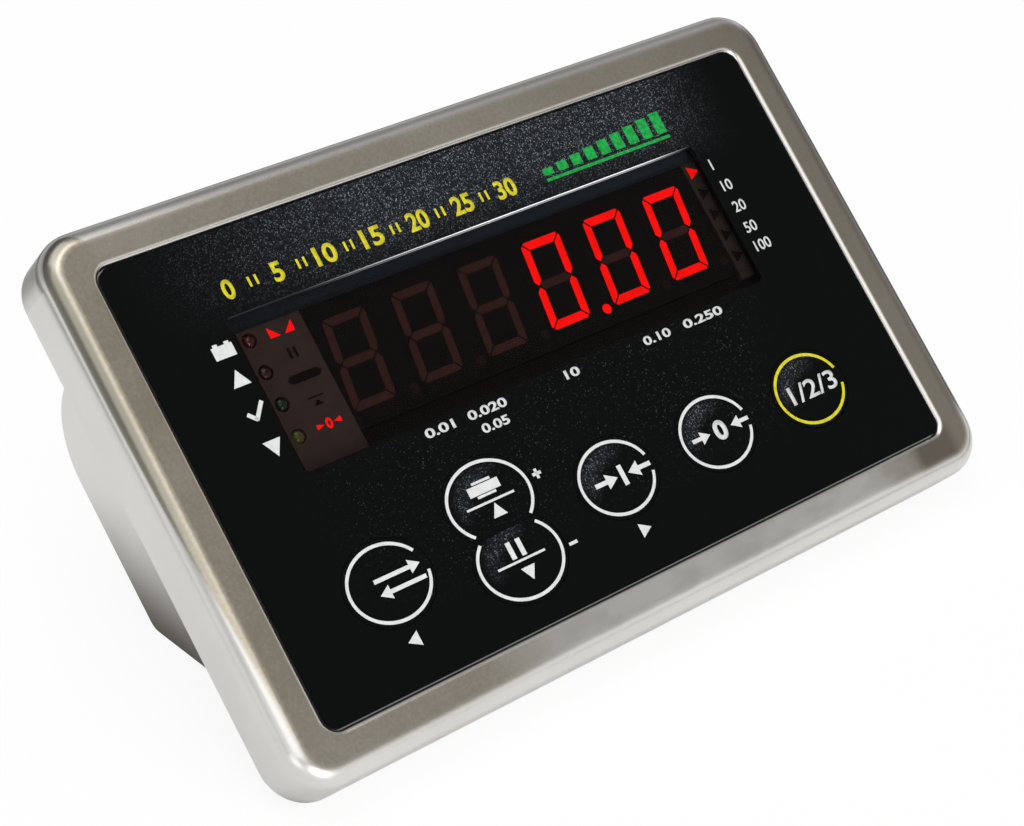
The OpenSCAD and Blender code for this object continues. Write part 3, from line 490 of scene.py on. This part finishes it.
# Bars that are off, with the decimal points dimmer still
def unlitPlastic(w):
    look = displayLook
    place = w.panel()
    x, y, z = place.axes()
    mottle = w.noise(place, 500, 3, 0.55)
    nearest = w.sum("PINGPONG", (x - look["pointX"]) / look["pointPitch"], 0.5)
    points = (1 - nearest.between(*look["pointReach"])) * y.band(*look["pointUp"])
    bars = mottle.between(0.35, 0.65).blend(darker(look["unlit"], 0.85), look["unlit"])
    return {"Base Color": points.blend(bars, look["unlitPoint"]), "Roughness": mottle * 0.1 + 0.4}


dress(finish("unlitBars", {"Specular IOR Level": 0.1}, unlitPlastic), "bars_dark")


def litPlastic(w):
    mottle = w.noise(w.panel(), 350, 2, 0.5).between(0.3, 0.7)
    return {"Emission Color": mottle.blend(darker(displayLook["lit"], 0.85), displayLook["lit"])}


lit = finish(
    "litBars",
    {"Base Color": tone(120, 4, 2), "Emission Strength": displayLook["glow"], "Specular IOR Level": 0.1},
    litPlastic,
)
dress(lit, "bars_lit", "symbols_lit", "pointer_lit")

lampLook = {
    "lamp_battery": tone(74, 7, 9),
    "lamp_high": tone(50, 13, 11),
    "lamp_accept": tone(12, 36, 21),
    "lamp_low": tone(80, 76, 16),
}
for name, colour in lampLook.items():
    dress(surface(name.replace("_", "") + "Plastic", colour, 500, 0.8, 0.05, 0.02), name)

# Insides: colour, how fine the mottling is, its dark share, roughness, and the nodes that have it
insideLook = {
    "filmStack": (tone(16, 17, 18), 250, 0.7, 0.5, ("keypad_spacer", "keypad_circuit")),
    "flexFilm": (tone(196, 132, 52), 300, 0.85, 0.3, ("keypad_tail",)),
    "blackFoam": (tone(40, 41, 44), 1500, 0.4, 0.95, ("shell_gasket",)),
    "socketPlastic": (tone(224, 216, 190), 300, 0.9, 0.45, ("tail_socket",)),
    "chipCase": (tone(38, 38, 40), 900, 0.8, 0.55, ("board_chips",)),
    "capacitorSleeve": (tone(36, 54, 104), 200, 0.8, 0.3, ("capacitors",)),
    "terminalPlastic": (tone(46, 136, 84), 300, 0.85, 0.45, ("terminal_blocks",)),
    "cellWrap": (tone(60, 140, 104), 120, 0.85, 0.25, ("battery_cells",)),
    "softRubber": (tone(34, 34, 36), 900, 0.7, 0.75, ("gland_seals", "gland_washers")),
}
insideMetals = {
    "tinnedCan": (tone(205, 206, 208), 200, 0.9, 0.3, ("converter_cover",)),
    "brassMetal": (tone(214, 184, 116), 500, 0.85, 0.28, ("board_pillars", "switch_tabs")),
}
for metallic, table in ((0.0, insideLook), (1.0, insideMetals)):
    for name, (*look, pieces) in table.items():
        dress(surface(name, *look, Metallic=metallic), *pieces)

# Foam round the display, almost black below the digits, with a bluish painted reflection above them
shieldLook = {
    "below": tone(22, 17, 13),
    "aboveLeft": tone(38, 44, 47),
    "aboveRight": tone(56, 64, 76),
    "across": (-0.07, 0.05),
    "up": (0.024, 0.028),
    "poreScale": 1500,
    "roughness": 0.75,
}


def shieldFoam(w):
    look = shieldLook
    place = w.panel()
    x, y, z = place.axes()
    pores = w.noise(place, look["poreScale"], 2, 0.6)
    # Painted reflection: the bluish tone above the digits grows lighter to the right
    light = x.between(*look["across"]) * 0.6 + pores.between(0.3, 0.7) * 0.4
    above = light.blend(look["aboveLeft"], look["aboveRight"])
    return {
        "Base Color": y.between(*look["up"]).blend(look["below"], above),
        "Roughness": pores * 0.2 + look["roughness"],
        "Normal": w.bump(pores, 0.4, 0.00004),
    }


dress(finish("shieldFoam", {"Specular IOR Level": 0.1}, shieldFoam), "display_shield")

# Green mask of the two boards, with lighter tracks
boardLook = {
    "mask": tone(14, 70, 42),
    "tracks": tone(40, 112, 72),
    "trackScale": 90.0,
    "trackWidth": 0.035,
    "roughness": 0.25,
}


def solderMask(w):
    look = boardLook
    place = w.panel()
    bricks = {
        "Vector": place,
        "Scale": look["trackScale"],
        "Mortar Size": look["trackWidth"],
        "Color1": (0, 0, 0, 1),
        "Color2": (0.2, 0.2, 0.2, 1),
        "Mortar": (1, 1, 1, 1),
    }
    cells = w.add("ShaderNodeTexBrick", {"offset": 0.35}, bricks)
    clouds = w.noise(place, 60, 2, 0.5)
    tracks = w.add("ShaderNodeRGBToBW", {}, {"Color": cells}) * clouds.between(0.42, 0.55)
    return {
        "Base Color": tracks.blend(look["mask"], look["tracks"]),
        "Roughness": clouds * 0.1 + look["roughness"],
    }


dress(finish("solderMask", {}, solderMask), "display_board", "main_board")

# Moulded black plastic of the glands, the tray and the switch
mouldedLook = {
    "dark": tone(30, 30, 32),
    "light": tone(40, 40, 42),
    "poreScale": 1800,
    "roughness": 0.38,
}


def mouldedBlack(w):
    look = mouldedLook
    place = w.panel()
    pores = w.noise(place, look["poreScale"], 2, 0.6)
    clouds = w.noise(place, 120, 2, 0.5)
    return {
        "Base Color": clouds.between(0.3, 0.7).blend(look["dark"], look["light"]),
        "Roughness": pores * 0.2 + look["roughness"],
        "Normal": w.bump(pores, 0.3, 0.00002),
    }


moulded = finish("mouldedBlack", {}, mouldedBlack)
dress(moulded, "gland_bodies", "gland_caps", "gland_locknuts", "battery_tray", "board_link")
dress(moulded, "switch_housing", "switch_rocker")
print("finishes made")


# Printed shapes, drawn flat in millimetres: where one goes, its size and its turn in degrees
def spot(x, y, w=1, h=1, turn=0):
    return (
        Matrix.Translation((x, y, 0)) @ Matrix.Rotation(math.radians(turn), 4, "Z") @ Matrix.Diagonal((w, h, 1, 1))
    )


def addBar(bm, x, y, w, h, turn=0):
    bmesh.ops.create_grid(bm, x_segments=1, y_segments=1, size=0.5, matrix=spot(x, y, w, h, turn))


# A triangle that points along +x before it is turned
def addTriangle(bm, x, y, length, width, turn=0):
    corner = Matrix.Rotation(math.radians(-90), 4, "Z")
    aim = spot(x, y, length / 1.5, width / math.sqrt(3), turn) @ corner
    bmesh.ops.create_circle(bm, cap_ends=True, segments=3, radius=1, matrix=aim)


# An oval ring, open between the two angles of each gap
def addRing(bm, x, y, w, h, stroke, gaps=()):
    start = len(bm.faces)
    rims = []
    for inset in (0, stroke):
        rim = bmesh.ops.create_circle(
            bm, segments=144, radius=0.5, matrix=spot(x, y, w - 2 * inset, h - 2 * inset)
        )
        rims += list({edge for vert in rim["verts"] for edge in vert.link_edges})
    bmesh.ops.bridge_loops(bm, edges=rims)
    bm.faces.ensure_lookup_table()
    cut = []
    for face in bm.faces[start:]:
        middle = face.calc_center_median()
        angle = math.degrees(math.atan2((middle.y - y) / h, (middle.x - x) / w)) % 360
        if any((angle - low) % 360 < high - low for low, high in gaps):
            cut.append(face)
    if cut:
        bmesh.ops.delete(bm, geom=cut, context="FACES")


# Numerals set to a height, and squeezed or stretched to a width if one is given
def addNumerals(bm, words, x, y, height, width=None, anchor=0.5, weight=0.02):
    curve = bpy.data.curves.new("numerals", "FONT")
    curve.body = words
    curve.offset = weight
    curve.resolution_u = 6
    holder = bpy.data.objects.new("numerals", curve)
    bpy.context.scene.collection.objects.link(holder)
    bpy.context.view_layer.update()
    mesh = bpy.data.meshes.new_from_object(holder.evaluated_get(bpy.context.evaluated_depsgraph_get()))
    bpy.data.objects.remove(holder)
    xs = [vert.co.x for vert in mesh.vertices]
    ys = [vert.co.y for vert in mesh.vertices]
    tall = height / (max(ys) - min(ys))
    wide = width / (max(xs) - min(xs)) if width else tall
    left = x - anchor * wide * (max(xs) - min(xs)) - wide * min(xs)
    low = y - height / 2 - tall * min(ys)
    mesh.transform(spot(left, low, wide, tall))
    bm.from_mesh(mesh)
    bpy.data.meshes.remove(mesh)


# An arrow centred on its place, its head a triangle whose middle is a third of the way from its foot
def addArrow(bm, x, y, length, head, stroke, turn):
    way = Matrix.Rotation(math.radians(turn), 3, "Z")
    shaft = way @ Vector((-head / 2, 0, 0))
    tip = way @ Vector((length / 2 - head * 2 / 3, 0, 0))
    addBar(bm, x + shaft.x, y + shaft.y, length - head, stroke, turn)
    addTriangle(bm, x + tip.x, y + tip.y, head, head * 1.15, turn)


inkThickness = 0.03
inks = {
    "white": surface("whiteInk", tone(206, 207, 206), 600, 0.9, 0.6, Specular_IOR_Level=0.2),
    "yellow": surface("yellowInk", tone(206, 196, 36), 900, 0.78, 0.6, Specular_IOR_Level=0.2),
    "green": surface("greenInk", tone(22, 160, 70), 1100, 0.6, 0.6, Specular_IOR_Level=0.2),
}


# Gives flat shapes the thickness of ink and lays them on the panel
def printOn(name, bm, ink, body, place=panelPlace):
    bmesh.ops.triangulate(bm, faces=bm.faces[:])
    raised = bmesh.ops.extrude_face_region(bm, geom=bm.faces[:])
    top = [item for item in raised["geom"] if isinstance(item, bmesh.types.BMVert)]
    bmesh.ops.translate(bm, verts=top, vec=(0, 0, inkThickness))
    bmesh.ops.recalc_face_normals(bm, faces=bm.faces[:])
    bmesh.ops.transform(bm, matrix=place, verts=bm.verts[:])
    mesh = bpy.data.meshes.new(name)
    bm.to_mesh(mesh)
    bm.free()
    piece = bpy.data.objects.new(name, mesh)
    bpy.context.scene.collection.objects.link(piece)
    mesh.materials.append(inks[ink])
    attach(piece, body)
    return piece


# Printing beside and below the window
panelPrint = {
    "scaleLeft": -65.3,
    "scaleRight": 14.1,
    "scaleY": 37.9,
    "scaleHeight": 4.4,
    "scaleNumbers": ("0", "5", "10", "15", "20", "25", "30"),
    "scaleDigit": 2.7,
    "levelLeft": 20.7,
    "levelRight": 58.6,
    "levelLow": 37.4,
    "levelHigh": 42.7,
    "levelBars": 9,
    "leftEdge": -66.4,
    "leftYs": (26.7, 19.7, 12.4, 5.1),
    "rightEdge": 64.2,
    "rightYs": (26.6, 21.0, 15.5, 10.1, 5.3),
    "rightNumbers": ("1", "10", "20", "50", "100"),
    "smallNumbers": (
        ("0.01", -32.8, -4.8, 7.6),
        ("0.020", -20.3, -4.8, 10.2),
        ("0.05", -20.2, -8.4, 7.2),
        ("10", 3.0, -4.8, 4.0),
        ("0.10", 27.5, -4.8, 7.8),
        ("0.250", 41.2, -4.8, 11.6),
    ),
    "smallHeight": 2.1,
    "rightHeight": 2.7,
    # Pictograms beside the lamps: how far left of leftEdge their middle lies, and their sizes
    "leftMiddle": 2.3,
    "batterySize": (4.9, 2.8),
    "batteryCap": (1.1, 0.6),
    "leftPointer": (3.6, 4.2),
    # Marks beside the keys: a plus, a minus and two small pointers
    "signX": -17.0,
    "plusY": -21.3,
    "minusY": -37.5,
    "signSize": (2.2, 0.7),
    "pointerPlaces": ((-60.4, 180), (0.4, 0)),
    "pointerY": -41.4,
    "pointerSize": (2.9, 3.2),
}


def printScale():
    look = panelPrint
    bm = bmesh.new()
    count = len(look["scaleNumbers"])
    step = (look["scaleRight"] - look["scaleLeft"]) / (count - 0.4)
    for i, words in enumerate(look["scaleNumbers"]):
        x = look["scaleLeft"] + step * (i + 0.3)
        addNumerals(bm, words, x, look["scaleY"], look["scaleHeight"], look["scaleDigit"] * len(words), weight=0.03)
        if i < count - 1:
            for share in (0.43, 0.57):
                addBar(bm, x + step * share, look["scaleY"], 0.55, look["scaleHeight"] * 0.5)
    printOn("scaleNumerals", bm, "yellow", "console")


def printLevel():
    look = panelPrint
    bm = bmesh.new()
    step = (look["levelRight"] - look["levelLeft"]) / look["levelBars"]
    for i in range(look["levelBars"]):
        tall = (look["levelHigh"] - look["levelLow"]) * (0.3 + 0.7 * i / (look["levelBars"] - 1))
        addBar(bm, look["levelLeft"] + step * (i + 0.5), look["levelLow"] + tall / 2, step * 0.66, tall)
    middle = (look["levelLeft"] + look["levelRight"]) / 2
    addBar(bm, middle, look["levelLow"] - 1.1, look["levelRight"] - look["levelLeft"] - step * 0.34, 0.7)
    printOn("levelBars", bm, "green", "console")


def printLabels():
    look = panelPrint
    bm = bmesh.new()
    battery, high, accept, low = look["leftYs"]
    edge = look["leftEdge"]
    middle = edge - look["leftMiddle"]
    addBar(bm, middle - 0.3, battery - 0.4, *look["batterySize"])
    for side in (-1, 1):
        addBar(bm, middle - 0.3 + side * 1.35, battery + 1.25, *look["batteryCap"])
    addTriangle(bm, middle, high, *look["leftPointer"], 90)
    # The tick of the accept lamp: its short leg, then its long one
    addBar(bm, edge - 3.6, accept - 0.5, 2.4, 0.9, -45)
    addBar(bm, edge - 1.6, accept + 0.3, 4.4, 0.9, 50)
    addTriangle(bm, middle, low, *look["leftPointer"], -90)
    for words, y in zip(look["rightNumbers"], look["rightYs"]):
        addNumerals(bm, words, look["rightEdge"], y, look["rightHeight"], anchor=0, weight=0.015)
    for words, x, y, width in look["smallNumbers"]:
        addNumerals(bm, words, x, y, look["smallHeight"], width, weight=0.03)
    long, thin = look["signSize"]
    addBar(bm, look["signX"], look["plusY"], long, thin)
    addBar(bm, look["signX"], look["plusY"], thin, long)
    addBar(bm, look["signX"], look["minusY"], long, thin)
    for x, turn in look["pointerPlaces"]:
        addTriangle(bm, x, look["pointerY"], *look["pointerSize"], turn)
    printOn("panelLabels", bm, "white", "console")


printScale()
printLevel()
printLabels()

# Rings and legends of the keys, each riding on its own key
keyPrint = {
    "ring": (19.6, 16.6),
    "pairRing": (21.2, 17.4),
    "stroke": 0.72,
    "gap": (-12, 16),
    "netGap": (-4, 30),
    "pairGapHalf": 44,
    # Arrows: across and up from the key's middle, length, head, stroke and turn
    "netArrows": ((2.6, 1.3, 11.4, 2.6, 0.9, 0), (2.6, -1.7, 11.4, 2.6, 0.9, 180)),
    "tareArrows": ((-2.9, 0, 6.2, 3.0, 1.0, 0), (6.3, 0, 6.2, 3.0, 1.0, 180)),
    "zeroArrows": ((-4.4, 0, 5.2, 2.6, 0.9, 0), (7.0, 0, 5.2, 2.6, 0.9, 180)),
    # Widths and heights of bars, heights and widths of numerals, lengths and widths of pointers
    "tareBar": (1.2, 4.6),
    "zeroSize": (4.6, 3.6),
    "unitSize": (4.4, 14.2),
    "pairLine": (12.4, 0.5),
    "printer": (8.0, 2.1),
    "paper": (4.8, 0.55),
    "holdBar": (1.2, 3.8),
    "pairPointer": (3.0, 3.6),
}


# Starts a key's legend: its ring, open at the right, and its arrows
def ringedKey(key, arrows=(), gap=keyPrint["gap"]):
    x, y = keyCentres[key]
    bm = bmesh.new()
    addRing(bm, x, y, *keyPrint["ring"], keyPrint["stroke"], [gap])
    for across, up, *arrow in arrows:
        addArrow(bm, x + across, y + up, *arrow)
    return bm, x, y


def printNet():
    bm, x, y = ringedKey("key_net", keyPrint["netArrows"], keyPrint["netGap"])
    printOn("netLegend", bm, "white", "key_net")


def printTare():
    bm, x, y = ringedKey("key_tare", keyPrint["tareArrows"])
    addBar(bm, x + 1.7, y, *keyPrint["tareBar"])
    printOn("tareLegend", bm, "white", "key_tare")


def printZero():
    bm, x, y = ringedKey("key_zero", keyPrint["zeroArrows"])
    addNumerals(bm, "0", x + 1.3, y, *keyPrint["zeroSize"], weight=0.04)
    printOn("zeroLegend", bm, "white", "key_zero")


def printUnit():
    ring, x, y = ringedKey("key_unit")
    printOn("unitRing", ring, "yellow", "key_unit")
    bm = bmesh.new()
    addNumerals(bm, "1/2/3", x + 1.0, y, *keyPrint["unitSize"], weight=0.015)
    printOn("unitLegend", bm, "white", "key_unit")


# The two keys of the pair share one outline: each ring is open towards the other key
def printPair():
    half = keyPrint["pairGapHalf"]
    for side, name in ((1, "print"), (-1, "hold")):
        x, y = keyCentres["key_" + name]
        bm = bmesh.new()
        centre = 270 if side > 0 else 90
        addRing(bm, x, y, *keyPrint["pairRing"], keyPrint["stroke"], [(centre - half, centre + half)])
        addBar(bm, x, y - 0.3, *keyPrint["pairLine"])
        if side > 0:
            addBar(bm, x, y + 2.8, *keyPrint["printer"])
            for paper in (1.3, 4.35):
                addBar(bm, x, y + paper, *keyPrint["paper"])
        else:
            for bar in (-1, 1):
                addBar(bm, x + bar * 1.3, y + 2.3, *keyPrint["holdBar"])
        addTriangle(bm, x + 0.6, y - 2.9, *keyPrint["pairPointer"], side * 90)
        printOn(name + "Legend", bm, "white", "key_" + name)


printNet()
printPair()
printTare()
printZero()
printUnit()

# I and O on the rocker's two slopes, which rise from its middle to its ends
rockerPrint = {
    "tilt": 12,
    "half": 7.1,
    "rise": 3.9,
    "dip": 2.6,
    "size": 2.8,
    "stroke": 0.5,
}


def printRocker():
    look = rockerPrint
    slope = math.atan2(look["rise"] - look["dip"], look["half"])
    turned = rockerPlace @ Matrix.Rotation(math.radians(look["tilt"]), 4, "Y")
    for side, name in ((1, "rockerOn"), (-1, "rockerOff")):
        bm = bmesh.new()
        if side > 0:
            addBar(bm, 0, 0, look["stroke"], look["size"])
        else:
            addRing(bm, 0, 0, look["size"], look["size"], look["stroke"])
        middle = Matrix.Translation((side * look["half"] / 2, 0, (look["rise"] + look["dip"]) / 2))
        place = turned @ middle @ Matrix.Rotation(-side * slope, 4, "Y")
        printOn(name, bm, "white", "switch_rocker", place)


printRocker()
print("printing laid on")

# Studio
studio = {
    "floor": (0.93, 0.93, 0.93, 1),
    "floorFar": (0.22, 0.21, 0.2, 1),
    "farAcross": (0.1, 0.3),
    "farBehind": (0.12, 0.35),
    "floorSize": 16,
    "shadowRelief": 0.9,
    "horizon": 1.0,
    "ceiling": 0.42,
    "ceilingFrom": (0.2, 0.5),
    "darkBehind": 0.45,
    "behindFrom": (0.2, 0.7),
    "lamps": (
        # name, place, aim, size, power
        ("leftSoftbox", (-1.1, -0.75, 0.45), (0, 0, 0.05), 0.6, 0.9),
        ("topSoftbox", (-0.1, 0.25, 1.5), (0, 0, 0.05), 1.2, 9.0),
        ("deskLamp", (-0.22, -0.85, 0.13), (0, 0, 0.05), 0.16, 2.4),
    ),
    "sun": 0.8,
    "sunSpread": 56,
    "sunAim": (0.35, 0.45, -1),
}


# A pale floor whose shadow is faint to the camera, and which mirrors darker to the right and behind
def paleFloor():
    material = finish("paleFloor", {"Roughness": 0.9, "Specular IOR Level": 0.0})
    tree = material.node_tree
    w = Wire(tree)
    x, y, z = w.add("ShaderNodeTexCoord", out="Object").axes()
    mirrored = w.add("ShaderNodeLightPath", out="Is Glossy Ray")
    seen = w.add("ShaderNodeLightPath", out="Is Camera Ray")
    far = x.between(*studio["farAcross"]) + y.between(*studio["farBehind"])
    shade = (mirrored * far).blend(studio["floor"], studio["floorFar"])
    tree.links.new(shade.socket, tree.nodes["Principled BSDF"].inputs["Base Color"])
    plain = w.add("ShaderNodeEmission", {}, {"Color": (1, 1, 1, 1), "Strength": 1.0})
    body = Wire(tree, tree.nodes["Principled BSDF"].outputs[0])
    mixed = w.add("ShaderNodeMixShader", {}, {0: seen * studio["shadowRelief"], 1: body, 2: plain})
    tree.links.new(mixed.socket, tree.nodes["Material Output"].inputs["Surface"])
    return material


def buildStudio():
    bm = bmesh.new()
    bmesh.ops.create_grid(bm, x_segments=1, y_segments=1, size=studio["floorSize"] / 2)
    mesh = bpy.data.meshes.new("floor")
    bm.to_mesh(mesh)
    bm.free()
    floor = bpy.data.objects.new("floor", mesh)
    bpy.context.scene.collection.objects.link(floor)
    mesh.materials.append(paleFloor())

    for name, place, aim, size, power in studio["lamps"]:
        data = bpy.data.lights.new(name, "AREA")
        data.shape = "SQUARE"
        data.size = size
        data.energy = power
        lamp = bpy.data.objects.new(name, data)
        bpy.context.scene.collection.objects.link(lamp)
        look = (Vector(aim) - Vector(place)).to_track_quat("-Z", "Y").to_matrix().to_4x4()
        lamp.matrix_world = Matrix.Translation(place) @ look

    data = bpy.data.lights.new("softSun", "SUN")
    data.angle = math.radians(studio["sunSpread"])
    data.energy = studio["sun"]
    sun = bpy.data.objects.new("softSun", data)
    bpy.context.scene.collection.objects.link(sun)
    sun.matrix_world = Vector(studio["sunAim"]).to_track_quat("-Z", "Y").to_matrix().to_4x4()

    world = bpy.data.worlds.new("studio")
    bpy.context.scene.world = world
    world.use_nodes = True
    tree = world.node_tree
    w = Wire(tree)
    x, y, z = w.add("ShaderNodeTexCoord", out="Generated").axes()
    level = z.between(*studio["ceilingFrom"]) * (studio["ceiling"] - studio["horizon"]) + studio["horizon"]
    level = level * (1 - y.between(*studio["behindFrom"]) * studio["darkBehind"])
    tree.links.new(level.socket, tree.nodes["Background"].inputs["Strength"])
    tree.nodes["Background"].inputs["Color"].default_value = (1, 1, 1, 1)


buildStudio()
bpy.context.scene.view_settings.view_transform = "Standard"
print("studio built")
